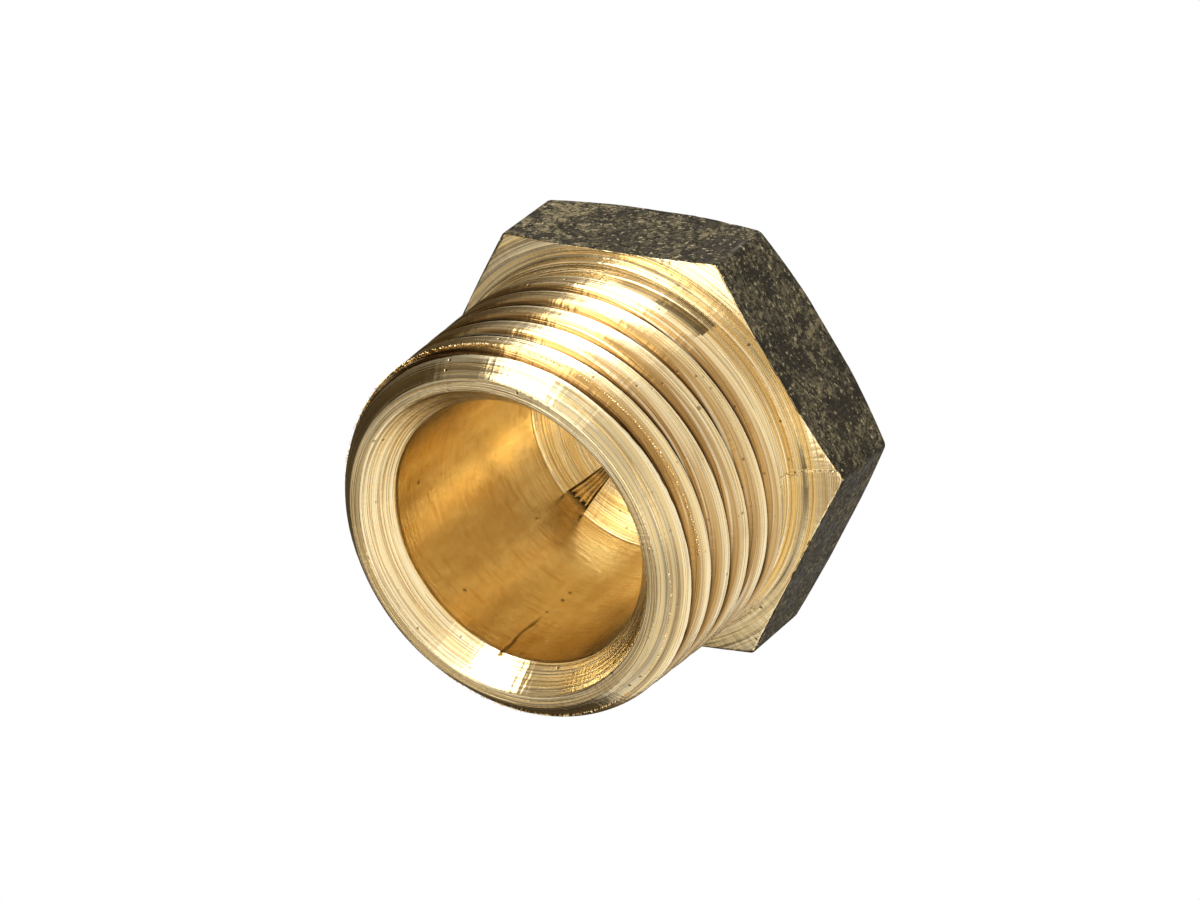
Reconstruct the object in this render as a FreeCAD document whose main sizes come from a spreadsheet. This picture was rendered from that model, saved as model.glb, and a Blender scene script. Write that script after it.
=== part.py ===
import FreeCAD, Part
import os

import Sketcher

# Hex head pipe plug: one brass piece, hot forged, then turned and threaded. The plug stands
# on its hexagonal head. Z is the thread axis and points out of the open mouth, z = 0 is the
# outer face of the head, and X points to one corner of the hexagon. Lengths are in mm.

doc = FreeCAD.newDocument("hex_head_pipe_plug")
sheet = doc.addObject("Spreadsheet::Sheet", "sizes")

SIZES = [
    # the hexagonal head
    ("across_flats", 22.2, "distance between two opposite wrench flats"),
    ("head_thickness", 5.5, "outer face to the turned underside"),
    ("edge_round", 0.45, "radius of the forged edges between the flats"),
    ("corner_chamfer_width", 1.5, "how far the chamfers reach in from the corners"),
    ("face_chamfer_angle", 23.0, "slope of the chamfer on the outer face"),
    ("underside_chamfer_angle", 14.0, "slope of the chamfer on the underside"),
    # the shank, from the head to the mouth
    ("plug_length", 17.75, "outer face of the head to the mouth"),
    ("collar_diameter", 21.4, "plain land under the head"),
    ("collar_height", 0.7, "height of that land"),
    ("relief_depth", 0.455, "run-out groove of the thread, below the crest"),
    ("relief_width", 0.9, "width of the run-out groove"),
    ("lead_depth", 1.12, "crest at the mouth to the outer edge of the flat rim"),
    ("lead_angle", 45.0, "slope of the lead-in from the rim to the thread"),
    # the taper pipe thread
    ("gauge_diameter", 20.955, "crest diameter in the gauge plane"),
    ("gauge_length", 8.16, "mouth to the gauge plane"),
    ("taper_per_length", 0.0625, "growth of the diameter along the axis"),
    ("thread_pitch", 1.814, "one turn of the thread along the axis"),
    ("thread_depth", 0.72, "crest to root"),
    ("thread_flank_angle", 27.5, "slope of each flank from a cross section"),
    ("thread_root_width", 0.1, "width of the flat at the root"),
    ("thread_end_rise", 0.66, "collar to the middle of the groove where the tool leaves it"),
    # the mouth and the blind bore, from the rim inwards
    ("rim_width", 0.62, "flat rim, outer edge to inner edge"),
    ("bore_chamfer_width", 1.2, "inner edge of the rim to the forged wall"),
    ("bore_chamfer_depth", 1.6, "height of the inner chamfer"),
    ("bore_draft_angle", 3.44, "slope of the forged wall from the axis"),
    ("bore_floor_height", 4.0, "thickness of metal under the bore"),
    ("bore_floor_round", 0.4, "radius round the edge of the floor"),
]
for row, (alias, value, note) in enumerate(SIZES, start=1):
    sheet.set(f"A{row}", alias)
    sheet.set(f"B{row}", str(value))
    sheet.set(f"C{row}", note)
    sheet.setAlias(f"B{row}", alias)
doc.recompute()


def size(alias):
    return float(sheet.get(alias))


# The blank is everything but the thread. The thread is cut into it at the end.
body = doc.addObject("PartDesign::Body", "blank")
body.Label = "turned_blank"


def origin(role):
    return next(f for f in body.Origin.OriginFeatures if f.Role == role)


def sketch_on(role, name):
    sketch = body.newObject("Sketcher::SketchObject", name)
    sketch.AttachmentSupport = [(origin(role), "")]
    sketch.MapMode = "FlatFace"
    return sketch


def closed_profile(sketch, points):
    """Draws straight lines through the points and back to the first, joined end to end."""
    count = len(points)
    for k in range(count):
        a, b = points[k], points[(k + 1) % count]
        sketch.addGeometry(Part.LineSegment(FreeCAD.Vector(*a, 0), FreeCAD.Vector(*b, 0)))
    for k in range(count):
        sketch.addConstraint(Sketcher.Constraint("Coincident", k, 2, (k + 1) % count, 1))


def bind(sketch, name, kind, args, value, expression):
    """Adds a named dimension to the sketch and ties it to the sheet."""
    sketch.addConstraint(Sketcher.Constraint(kind, *args, value))
    index = sketch.ConstraintCount - 1
    sketch.renameConstraint(index, name)
    sketch.setExpression(f"Constraints.{name}", expression)


def place_points(sketch, spots, points):
    """Ties each corner of a half section to its radius and height, given as expressions."""
    for k, (name, radius, height) in enumerate(spots):
        x, y = points[k]
        if radius is None:
            sketch.addConstraint(Sketcher.Constraint("PointOnObject", k, 1, -2))
        else:
            bind(sketch, f"{name}_radius", "DistanceX", (-1, 1, k, 1), x, radius)
        bind(sketch, f"{name}_height", "DistanceY", (-1, 1, k, 1), y, height)


# The crest of the thread lies on a cone. These give its radius at the mouth and at a height.
HALF_TAPER = "sizes.taper_per_length / 2"
MOUTH_CREST = f"(sizes.gauge_diameter / 2 - sizes.gauge_length * {HALF_TAPER})"


def crest_radius(height):
    return f"({MOUTH_CREST} + (sizes.plug_length - ({height})) * {HALF_TAPER})"


def half_section(name, spots, guess):
    """A closed half section in the XZ plane. Each spot has a name, a radius and a height."""
    sketch = sketch_on("XZ_Plane", name)
    closed_profile(sketch, guess)
    place_points(sketch, spots, guess)
    return sketch


def turn(kind, name, sketch):
    """Turns the half section once round the Z axis, adding or cutting metal."""
    feature = body.newObject(kind, name)
    feature.Profile = sketch
    feature.ReferenceAxis = (sketch, ["V_Axis"])
    feature.Angle = 360.0
    doc.recompute()
    return feature


# Head: a hexagon with one corner on the X axis, its upright edges rounded as forged.
hexagon = sketch_on("XY_Plane", "hexagon")
corner = size("across_flats") / 3 ** 0.5
turns = [FreeCAD.Rotation(FreeCAD.Vector(0, 0, 1), 60 * k) for k in range(6)]
corners = [t.multVec(FreeCAD.Vector(corner, 0, 0)) for t in turns]
closed_profile(hexagon, [(c.x, c.y) for c in corners])
ring = hexagon.addGeometry(Part.Circle(FreeCAD.Vector(), FreeCAD.Vector(0, 0, 1), corner), True)
hexagon.addConstraint(Sketcher.Constraint("Coincident", ring, 3, -1, 1))
for k in range(6):
    hexagon.addConstraint(Sketcher.Constraint("PointOnObject", k, 1, ring))
for k in range(1, 6):
    hexagon.addConstraint(Sketcher.Constraint("Equal", 0, k))
hexagon.addConstraint(Sketcher.Constraint("PointOnObject", 0, 1, -1))
bind(hexagon, "across_flats", "Distance", (3, 1, 0), size("across_flats"), "sizes.across_flats")

head = body.newObject("PartDesign::Pad", "head")
head.Profile = hexagon
head.setExpression("Length", "sizes.head_thickness")
doc.recompute()

upright = [
    f"Edge{k}"
    for k, edge in enumerate(head.Shape.Edges, start=1)
    if abs(edge.Vertexes[0].Z - edge.Vertexes[-1].Z) > size("head_thickness") / 2
]
forged_edges = body.newObject("PartDesign::Fillet", "forged_edges")
forged_edges.Base = (head, upright)
forged_edges.setExpression("Radius", "sizes.edge_round")
doc.recompute()

# Corner chamfers: a shallow cone trims the six corners on each side of the head.
REACH = "sizes.across_flats * 0.7"
START = "(sizes.across_flats / sqrt(3) - sizes.corner_chamfer_width)"
reach = size("across_flats") * 0.7
start = corner - size("corner_chamfer_width")
face_drop = f"(({REACH}) - {START}) * tan(sizes.face_chamfer_angle)"
face_section = sketch_on("XZ_Plane", "face_chamfer_section")
closed_profile(face_section, [(start, 0), (reach, 1.2), (reach, 0)])
for k in (0, 2):
    face_section.addConstraint(Sketcher.Constraint("PointOnObject", k, 1, -1))
bind(face_section, "start", "DistanceX", (-1, 1, 0, 1), start, START)
bind(face_section, "reach", "DistanceX", (-1, 1, 1, 1), reach, REACH)
bind(face_section, "reach_again", "DistanceX", (-1, 1, 2, 1), reach, REACH)
bind(face_section, "drop", "DistanceY", (-1, 1, 1, 1), 1.2, face_drop)
doc.recompute()
turn("PartDesign::Groove", "face_chamfer", face_section)

top = size("head_thickness")
under_drop = f"(({REACH}) - {START}) * tan(sizes.underside_chamfer_angle)"
underside_section = half_section(
    "underside_chamfer_section",
    [
        ("start", START, "sizes.head_thickness"),
        ("low", REACH, f"sizes.head_thickness - {under_drop}"),
        ("high", REACH, "sizes.head_thickness"),
    ],
    [(start, top), (reach, top - 0.9), (reach, top)],
)
turn("PartDesign::Groove", "underside_chamfer", underside_section)

# Shank: collar, run-out groove, the cone that the thread is cut in, lead-in and flat rim.
COLLAR_TOP = "(sizes.head_thickness + sizes.collar_height)"
RELIEF_TOP = f"({COLLAR_TOP} + sizes.relief_width)"
RELIEF_RADIUS = f"({crest_radius(RELIEF_TOP)} - sizes.relief_depth)"
SLOPE_TOP = f"({RELIEF_TOP} + sizes.relief_depth)"
RIM_RADIUS = f"({MOUTH_CREST} - sizes.lead_depth)"
LEAD_HEIGHT = f"sizes.lead_depth / (tan(sizes.lead_angle) - {HALF_TAPER})"
LEAD_START = f"(sizes.plug_length - {LEAD_HEIGHT})"
shank_section = half_section(
    "shank_section",
    [
        ("foot", None, "sizes.head_thickness"),
        ("collar_foot", "sizes.collar_diameter / 2", "sizes.head_thickness"),
        ("collar_top", "sizes.collar_diameter / 2", COLLAR_TOP),
        ("relief_foot", RELIEF_RADIUS, COLLAR_TOP),
        ("relief_top", RELIEF_RADIUS, RELIEF_TOP),
        ("crest_foot", crest_radius(SLOPE_TOP), SLOPE_TOP),
        ("lead_foot", crest_radius(LEAD_START), LEAD_START),
        ("rim", RIM_RADIUS, "sizes.plug_length"),
        ("mouth", None, "sizes.plug_length"),
    ],
    [(0, 5.5), (10.7, 5.5), (10.7, 6.2), (10.1, 6.2), (10.1, 7.1), (10.55, 7.55),
     (10.26, 16.6), (9.1, 17.75), (0, 17.75)],
)
turn("PartDesign::Revolution", "shank", shank_section)

# Blind bore with forging draft, and the wide turned chamfer inside the mouth.
CHAMFER_FOOT = "(sizes.plug_length - sizes.bore_chamfer_depth)"
CLEAR = "sizes.plug_length + sizes.bore_chamfer_depth"
CHAMFER_RADIUS = f"({RIM_RADIUS} - sizes.rim_width)"
BORE_RADIUS = f"({CHAMFER_RADIUS} - sizes.bore_chamfer_width)"
DRAFT = f"({CHAMFER_FOOT} - sizes.bore_floor_height) * tan(sizes.bore_draft_angle)"
bore_section = half_section(
    "bore_section",
    [
        ("floor", None, "sizes.bore_floor_height"),
        ("floor_edge", f"{BORE_RADIUS} - {DRAFT}", "sizes.bore_floor_height"),
        ("chamfer_foot", BORE_RADIUS, CHAMFER_FOOT),
        ("chamfer_top", CHAMFER_RADIUS, "sizes.plug_length"),
        ("clear", CHAMFER_RADIUS, CLEAR),
        ("clear_axis", None, CLEAR),
    ],
    [(0, 4.0), (6.55, 4.0), (7.28, 16.15), (8.48, 17.75), (8.48, 19.35), (0, 19.35)],
)
bore = turn("PartDesign::Groove", "bore", bore_section)

floor_edge = [
    f"Edge{k}"
    for k, edge in enumerate(bore.Shape.Edges, start=1)
    if all(abs(v.Z - size("bore_floor_height")) < 1e-6 for v in edge.Vertexes)
    and abs(edge.BoundBox.ZLength) < 1e-6
]
bore_floor_round = body.newObject("PartDesign::Fillet", "bore_floor_round")
bore_floor_round.Base = (bore, floor_edge)
bore_floor_round.setExpression("Radius", "sizes.bore_floor_round")
doc.recompute()

# Thread: a right-hand groove that winds up the cone from the run-out groove past the mouth.
# Its section is drawn over one corner of the hexagon and reaches out past the crest.
MIDDLE = f"({COLLAR_TOP} + sizes.thread_end_rise)"
END_CREST = crest_radius(MIDDLE)
ROOT = f"{END_CREST} - sizes.thread_depth"
OUTER = f"{END_CREST} + sizes.thread_depth"
HALF_ROOT = "sizes.thread_root_width / 2"
HALF_OUTER = f"({HALF_ROOT} + 2 * sizes.thread_depth * tan(sizes.thread_flank_angle))"
upright_plane = FreeCAD.Rotation(FreeCAD.Vector(1, 0, 0), 90)

groove_section = doc.addObject("Sketcher::SketchObject", "groove_section")
groove_section.Placement = FreeCAD.Placement(FreeCAD.Vector(), upright_plane)
groove_spots = [
    ("outer_low", OUTER, f"{MIDDLE} - {HALF_OUTER}"),
    ("outer_high", OUTER, f"{MIDDLE} + {HALF_OUTER}"),
    ("root_high", ROOT, f"{MIDDLE} + {HALF_ROOT}"),
    ("root_low", ROOT, f"{MIDDLE} - {HALF_ROOT}"),
]
groove_guess = [(11.28, 6.06), (11.28, 7.66), (9.84, 6.91), (9.84, 6.81)]
closed_profile(groove_section, groove_guess)
place_points(groove_section, groove_spots, groove_guess)

# One turn of the path to each segment keeps the cut sound on a cone.
tool_path = doc.addObject("Part::Helix", "tool_path")
tool_path.SegmentLength = 1.0
tool_path.setExpression("Pitch", "sizes.thread_pitch")
tool_path.setExpression("Height", f"sizes.plug_length - {MIDDLE} + sizes.thread_pitch")
tool_path.setExpression("Radius", END_CREST)
tool_path.setExpression("Angle", f"-atan({HALF_TAPER})")
tool_path.setExpression("Placement.Base.z", MIDDLE)
doc.recompute()

thread_groove = doc.addObject("Part::Sweep", "thread_groove")
thread_groove.Sections = [groove_section]
segments = [f"Edge{k}" for k in range(1, len(tool_path.Shape.Edges) + 1)]
thread_groove.Spine = (tool_path, segments)
thread_groove.Solid = True
thread_groove.Frenet = True

plug = doc.addObject("Part::Cut", "plug_body")
plug.Label = "plug_body"
plug.Base = body
plug.Tool = thread_groove
doc.recompute()

# Checks: every object is sound, the thread took metal away, and the plug is one solid.
for thing in doc.Objects:
    bad = {"Invalid", "Error"} & set(thing.State)
    if bad:
        raise RuntimeError(f"{thing.Name} is {thing.State}")
shape = plug.Shape
if shape.isNull() or not shape.isValid() or len(shape.Solids) != 1:
    raise RuntimeError("the plug is not one valid solid")
cut_away = body.Shape.Volume - shape.Volume
if cut_away < 0.01 * body.Shape.Volume:
    raise RuntimeError("the thread cut no groove")
box = shape.optimalBoundingBox()
print(f"volume {shape.Volume:.1f} mm3, after the thread took {cut_away:.1f} mm3")
print(f"box {box.XLength:.2f} x {box.YLength:.2f} x {box.ZLength:.2f} mm")

os.makedirs("parts", exist_ok=True)
shape.exportStep(f"parts/{plug.Label}.step")
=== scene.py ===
# %% [markdown]
# Hex head pipe plug in brass, as a lesson in cells.
# The real plug is one piece: a hot forging with a dark skin, then turned and threaded on a
# lathe, so half of it is bright brass and the hexagon keeps its scale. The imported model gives
# the sizes and the place. This file builds the skin that shows: the thread, the tool marks,
# the torn burrs, the scale, and the light that brings them out.

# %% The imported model, as a fixed frame
import math

import bmesh
import bpy
import numpy as np
from mathutils import Matrix, Vector


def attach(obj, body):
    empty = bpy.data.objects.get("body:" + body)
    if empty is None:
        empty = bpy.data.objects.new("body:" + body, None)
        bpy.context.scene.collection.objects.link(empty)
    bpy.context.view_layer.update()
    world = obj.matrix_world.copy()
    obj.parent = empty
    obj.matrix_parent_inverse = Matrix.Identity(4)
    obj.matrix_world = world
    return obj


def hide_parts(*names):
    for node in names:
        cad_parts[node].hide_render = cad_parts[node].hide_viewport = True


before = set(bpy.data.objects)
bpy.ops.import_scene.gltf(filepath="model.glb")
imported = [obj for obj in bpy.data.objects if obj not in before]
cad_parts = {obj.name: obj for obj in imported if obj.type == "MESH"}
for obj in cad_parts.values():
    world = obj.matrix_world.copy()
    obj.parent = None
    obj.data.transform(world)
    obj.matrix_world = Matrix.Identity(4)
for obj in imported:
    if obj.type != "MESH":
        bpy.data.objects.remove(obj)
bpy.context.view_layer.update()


MM = 0.001

# %% [markdown]
# The plug stands on its head in this frame, and the photograph looks into its open mouth from
# above, turned on its side. A long lens gives the flat perspective of a small thing seen from
# a third of a metre. The camera is made from the angles of that view, not from a picture.

# %% Camera
AZIMUTH, ELEVATION, ROLL = (math.radians(v) for v in (40.1, 49.27, -128.38))
AIM = Vector((0.000195, 0.00104, 0.008169))
DISTANCE = 0.32876

level_right = Vector((-math.sin(AZIMUTH), math.cos(AZIMUTH), 0))
back = Vector((math.cos(ELEVATION) * math.cos(AZIMUTH),
               math.cos(ELEVATION) * math.sin(AZIMUTH), math.sin(ELEVATION)))
level_up = back.cross(level_right)
right = math.cos(ROLL) * level_right + math.sin(ROLL) * level_up
up = back.cross(right)
lens = bpy.data.cameras.new("long_lens")
lens.lens, lens.sensor_width, lens.clip_start = 192.07, 36.0, 0.01
camera = bpy.data.objects.new("long_lens", lens)
bpy.context.scene.collection.objects.link(camera)
camera.matrix_world = Matrix.Translation(AIM + DISTANCE * back) @ Matrix(
    (right, up, back)).transposed().to_4x4()
bpy.context.scene.camera = camera
bpy.context.scene.view_settings.view_transform = "Standard"
print("camera at", [round(v, 4) for v in camera.location])

# %% [markdown]
# Both shaders and geometry trees are wires between small nodes. One helper adds a node, sets
# it and joins it, so that a recipe reads like a sum. A value that isn't a socket is a number.


# %% Helper for node trees
class Bench:
    """Adds nodes to a tree and wires them up."""

    def __init__(self, tree):
        self.tree = tree

    def join(self, socket, value):
        if isinstance(value, bpy.types.NodeSocket):
            self.tree.links.new(value, socket)
        elif value is not None:
            socket.default_value = value

    def add(self, kind, wires=(), output=0, **settings):
        node = self.tree.nodes.new(kind)
        for name, value in settings.items():
            setattr(node, name, value)
        for key, value in dict(wires).items():
            self.join(node.inputs[key], value)
        return node.outputs[output]

    def math(self, operation, a, b=None, c=None):
        return self.add("ShaderNodeMath", {0: a, 1: b, 2: c}, operation=operation)

    def step(self, value, low, high):
        """Rises smoothly from 0 to 1 while the value goes from low to high."""
        return self.add("ShaderNodeMapRange", {0: value, 1: low, 2: high, 3: 0.0, 4: 1.0},
                        interpolation_type="SMOOTHSTEP")

    def xyz(self, x=0.0, y=0.0, z=0.0):
        return self.add("ShaderNodeCombineXYZ", {0: x, 1: y, 2: z})

    def parts(self, vector):
        node = self.tree.nodes.new("ShaderNodeSeparateXYZ")
        self.join(node.inputs[0], vector)
        return node.outputs

    def scaled(self, vector, factors):
        return self.add("ShaderNodeVectorMath", {0: vector, 1: factors}, operation="MULTIPLY")

    def noise(self, vector, scale, detail=2.0, roughness=0.5):
        return self.add("ShaderNodeTexNoise", {"Vector": vector, "Scale": scale,
                                               "Detail": detail, "Roughness": roughness})

    def note(self, name):
        """Reads a value that is kept on the mesh's points."""
        return self.add("ShaderNodeAttribute", output=2, attribute_name=name)

    def mix(self, factor, a, b):
        """Blends two colours."""
        node = self.tree.nodes.new("ShaderNodeMix")
        node.data_type = "RGBA"
        for key, value in ((0, factor), (6, a), (7, b)):
            self.join(node.inputs[key], value)
        return node.outputs[2]


print("the bench is ready")

# %% [markdown]
# Sizes of the plug in millimetres, as its drawing has them. The crest of the thread lies on a
# slow cone, so one small function gives its radius at any height. Another gives the outline
# of the blank before the thread is cut, from the mouth down to the head.

# %% Sizes of the blank
ACROSS_FLATS, HEAD, EDGE_ROUND, CORNER_CHAMFER = 22.2, 5.5, 0.45, 1.5
FACE_SLOPE, UNDERSIDE_SLOPE = math.tan(math.radians(23)), math.tan(math.radians(14))
LENGTH, COLLAR_R, COLLAR_TOP, RELIEF_TOP = 17.75, 10.7, 6.2, 7.1
MOUTH_CREST, HALF_TAPER = 10.2225, 1 / 32
RIM_R, CHAMFER_R, BORE_R, FLOOR_Z = 9.1025, 8.4825, 7.2825, 4.0
CHAMFER_FOOT, DRAFT = 16.15, math.tan(math.radians(3.44))
PITCH, DEPTH, FLANK, ROOT_HALF, THREAD_END = 1.814, 0.72, math.tan(math.radians(27.5)), 0.05, 6.86


def crest(z):
    return MOUTH_CREST + (LENGTH - z) * HALF_TAPER


RELIEF_R = crest(RELIEF_TOP) - 0.455
SLOPE_TOP = RELIEF_TOP + 0.455


def lower_of(a, b, width):
    """The lower of two lines, with the corner between them worn round."""
    near = np.maximum(width - np.abs(a - b), 0) / width
    return np.minimum(a, b) - near * near * width / 4


def blank_radius(z):
    """Radius of the shank before the thread is cut."""
    on_slope = np.minimum(RELIEF_R + np.maximum(z - RELIEF_TOP, 0), crest(z))
    return lower_of(RIM_R + (LENGTH - z), on_slope, 0.5)


print(f"crest {blank_radius(SLOPE_TOP):.2f} mm at the head, {blank_radius(16.0):.2f} mm at the mouth")

# %% [markdown]
# The mesh is a net: columns run along the plug like staves, rows run round it. The columns
# crowd together at the six corners, at the notch in the floor and at the crack in the wall,
# because those are the places that need a crisp edge.

# %% Columns of the net
SECTORS = [60.0 * k + d for k in range(6) for d in (-1.9, -1.2, -0.75, -0.35, 0, 0.35, 0.75, 1.2, 1.9)]
STAVES = [60.0 * k + 1.9 + 56.2 * n / 36 for k in range(6) for n in range(1, 36)]
CRACK = 255.7
CRISP = [218.9 + 0.3 * n for n in range(49)] + [CRACK + d for d in (-0.7, -0.3, 0, 0.3, 0.7)]
CRISP += [2.2, 2.4, 2.9, 51.3, 51.7]
angles = [a for a in STAVES if all(abs(a - c) > 0.45 for c in CRISP)]
angles = np.radians(sorted(v % 360 for v in angles + SECTORS + CRISP))
COLUMNS = len(angles)
turns = angles / (2 * math.pi)
print(COLUMNS, "columns")

# %% [markdown]
# Outline of the hexagon at each column. Between two corners a flat is a straight line, and
# at a corner the forging has a small round, so the outline is the nearer of the two.

# %% The hexagon
apothem = ACROSS_FLATS / 2
off_corner = (angles + math.radians(30)) % math.radians(60) - math.radians(30)
flat_line = apothem / np.cos(math.radians(30) - np.abs(off_corner))
centre = apothem / math.cos(math.radians(30)) - EDGE_ROUND / math.cos(math.radians(30))
round_line = centre * np.cos(off_corner) + np.sqrt(
    np.maximum(EDGE_ROUND ** 2 - (centre * np.sin(off_corner)) ** 2, 0))
tangent = math.atan2(EDGE_ROUND * 0.5, centre + EDGE_ROUND * math.cos(math.radians(30)))
hexagon = np.where(np.abs(off_corner) < tangent, round_line, flat_line)
chamfer_start = apothem / math.cos(math.radians(30)) - CORNER_CHAMFER
past = np.maximum(hexagon - chamfer_start, 0)
under_edge = HEAD - past * UNDERSIDE_SLOPE
face_edge = past * FACE_SLOPE
print(f"hexagon {hexagon.min():.2f} to {hexagon.max():.2f} mm from the axis")

# %% [markdown]
# Rows of the net, from the middle of the bore's floor, up its wall, over the rim, down the
# thread and round the head to the middle of the outer face. Each row has a radius and a
# height at every column, a run length along the section for the tool marks, and a finish.
# A lathe leaves fine rings, so the turned rows of the mouth, the lead and from the end of the thread
# down the collar are moved by a hair, each the same all round.

# %% Rows of the net
TURNED, FORGED, SCALE = 0, 1, 2
rng = np.random.default_rng(7)
rows = []


def row(r, z, finish, cut=0.0, run=None, ring=0.0):
    """Adds a row. ring is the size of the tool's marks, taken inwards and downwards."""
    r, z = np.broadcast_to(r, COLUMNS) * 1.0, np.broadcast_to(z, COLUMNS) * 1.0
    if run is None:
        if rows:
            last = rows[-1]
            run = last["run"].mean() + math.hypot((r - last["r"]).mean(), (z - last["z"]).mean())
        else:
            run = 0.0
    mark = rng.uniform(0, ring)
    rows.append({"r": r - mark, "z": z - mark, "finish": finish, "cut": cut,
                 "run": np.broadcast_to(run, COLUMNS) * 1.0})


def between(a, b, count, first=False):
    """count values after a up to b; with first, a too."""
    return [a + (b - a) * k / count for k in range(0 if first else 1, count + 1)]


floor_edge = BORE_R - (CHAMFER_FOOT - FLOOR_Z) * DRAFT
FILLET = 0.18
slope = math.atan(DRAFT)
# Centre of the fillet between the floor and the leaning wall.
fillet_r = floor_edge + FILLET * (DRAFT - 1 / math.cos(slope))
for r in between(0.0, fillet_r, 34, first=True):
    row(r, FLOOR_Z, TURNED)
for a in between(0.0, math.pi / 2 - slope, 5):
    row(fillet_r + FILLET * math.sin(a), FLOOR_Z + FILLET * (1 - math.cos(a)), FORGED)
wall_start = rows[-1]["z"][0]
for z in between(wall_start, CHAMFER_FOOT, 40):
    row(BORE_R - (CHAMFER_FOOT - z) * DRAFT, z, FORGED)
rows[-1]["finish"] = TURNED
for t in between(0, 1, 18)[:-1]:
    row(BORE_R + (CHAMFER_R - BORE_R) * t, CHAMFER_FOOT + (LENGTH - CHAMFER_FOOT) * t, TURNED,
        ring=0.012)
for r in between(CHAMFER_R, RIM_R, 7, first=True):
    row(r, LENGTH, TURNED, ring=0.012)
mouth_run = rows[-1]["run"][0]
print(len(rows), "rows as far as the rim")

# %% [markdown]
# The thread's rows climb with the thread, so that every crest and root lies on a row and
# stays sharp. A spiral has no level end, so the bands at the two ends start as a point and
# open to a full pitch in one turn. Where the net closes after that turn, each row meets the
# row one pitch higher, and joined() says which.

# %% Rows along the thread
LOW = 7.56
OFFSETS = np.array([0.70, 0.94, 1.14, 1.27, 1.34, 1.39, 1.44, 1.52, 1.64, 1.764, 1.864, 1.96,
                    2.06, 2.14, 2.19, 2.24, 2.29, 2.36]) - 0.70
BAND, TURNS = len(OFFSETS), 4
top = LOW + PITCH * (TURNS + 1)
climbing = []
for j in range(BAND):
    climbing.append(LOW + PITCH * turns * (OFFSETS[j] / PITCH))
for n in range(TURNS):
    for j in range(BAND):
        climbing.append(LOW + PITCH * (turns + n) + OFFSETS[j])
for j in range(BAND):
    climbing.append(LOW + PITCH * (TURNS + turns) + (1 - turns) * OFFSETS[j])
climbing.append(np.full(COLUMNS, top))


def joined(k):
    """The row that climbing row k meets after one turn."""
    return min(k + BAND, len(climbing) - 1)


for z in between(LENGTH, top, 17)[:-1]:
    tool_line = 0.05 * math.exp(-((z - 17.42) / 0.05) ** 2)
    row(blank_radius(z) - tool_line, z, TURNED, cut=1.0, run=mouth_run + LENGTH - z, ring=0.012)
thread_first = len(rows)
for z in reversed(climbing):
    row(blank_radius(z), z, TURNED, cut=1.0, run=mouth_run + LENGTH - z)
thread_last = len(rows) - 1
STEP_AT = math.radians(2.3)
ramp = ((angles - STEP_AT) % (2 * math.pi)) / (2 * math.pi)
for z in between(LOW, COLLAR_TOP, 18):
    row(blank_radius(z) - 0.07 * ramp * min(1, (LOW - z) * 3), z, TURNED, cut=1.0,
        run=mouth_run + LENGTH - z, ring=0.01)
print(thread_last - thread_first + 1, "rows climb with the thread")

# %% [markdown]
# Collar, underside and head. The facing tool stopped once and left a step from the collar to
# a corner, so the underside is a very slow ramp that drops back at that line. The forged
# flats end in a soft edge on the outer face.

# %% Rows round the head
for r in between(RELIEF_R, COLLAR_R - 0.04, 5):
    row(r, COLLAR_TOP, TURNED, cut=1.0, ring=0.01)
for z in between(COLLAR_TOP - 0.04, HEAD + 0.12, 6, first=True):
    row(COLLAR_R - 0.05 * ramp, z, TURNED, ring=0.01)
row(COLLAR_R - 0.05, HEAD + 0.05, TURNED)
row(COLLAR_R - 0.03, HEAD, TURNED)
collar_run = rows[-1]["run"][0]
for t in between(0, 1, 15):
    r = COLLAR_R + (hexagon - COLLAR_R) * t
    lift = 0.06 * ramp * min(1, t * 4)
    row(r, HEAD - np.maximum(r - chamfer_start, 0) * UNDERSIDE_SLOPE - lift, TURNED,
        run=collar_run + r - COLLAR_R)
rows[-1]["finish"] = SCALE
rows[-1]["r"] -= 0.02 + 0.09 * rng.random(COLUMNS) ** 2
EDGE = 0.1
for t in between(0, 1, 18, first=True):
    row(hexagon, under_edge - 0.09 + (face_edge + EDGE - under_edge + 0.09) * t, SCALE)
for a in between(0, math.radians(80), 3):
    row(hexagon - EDGE * (1 - math.cos(a)), face_edge + EDGE * (1 - math.sin(a)), SCALE)
for t in between(0, 1, 6):
    r = hexagon - EDGE + (10.0 - hexagon + EDGE) * t
    row(r, np.maximum(r - chamfer_start, 0) * FACE_SLOPE, SCALE)
for r in between(10.0, 0.0, 11):
    row(r, 0.0, SCALE)
print(len(rows), "rows in all")

# %% [markdown]
# Marks of the forging and of handling that belong to one spot are pressed into the rows
# before the net becomes a mesh: the wedge-shaped notch that runs from the wall over the floor
# of the bore, with torn ridges along it, and the crack that runs down the wall from the
# chamfer. Doing it here keeps them real shape, with shadows of their own.

# %% Notch and crack
R = np.array([q["r"] for q in rows])
Z = np.array([q["z"] for q in rows])
A = np.broadcast_to(angles, R.shape)
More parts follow.
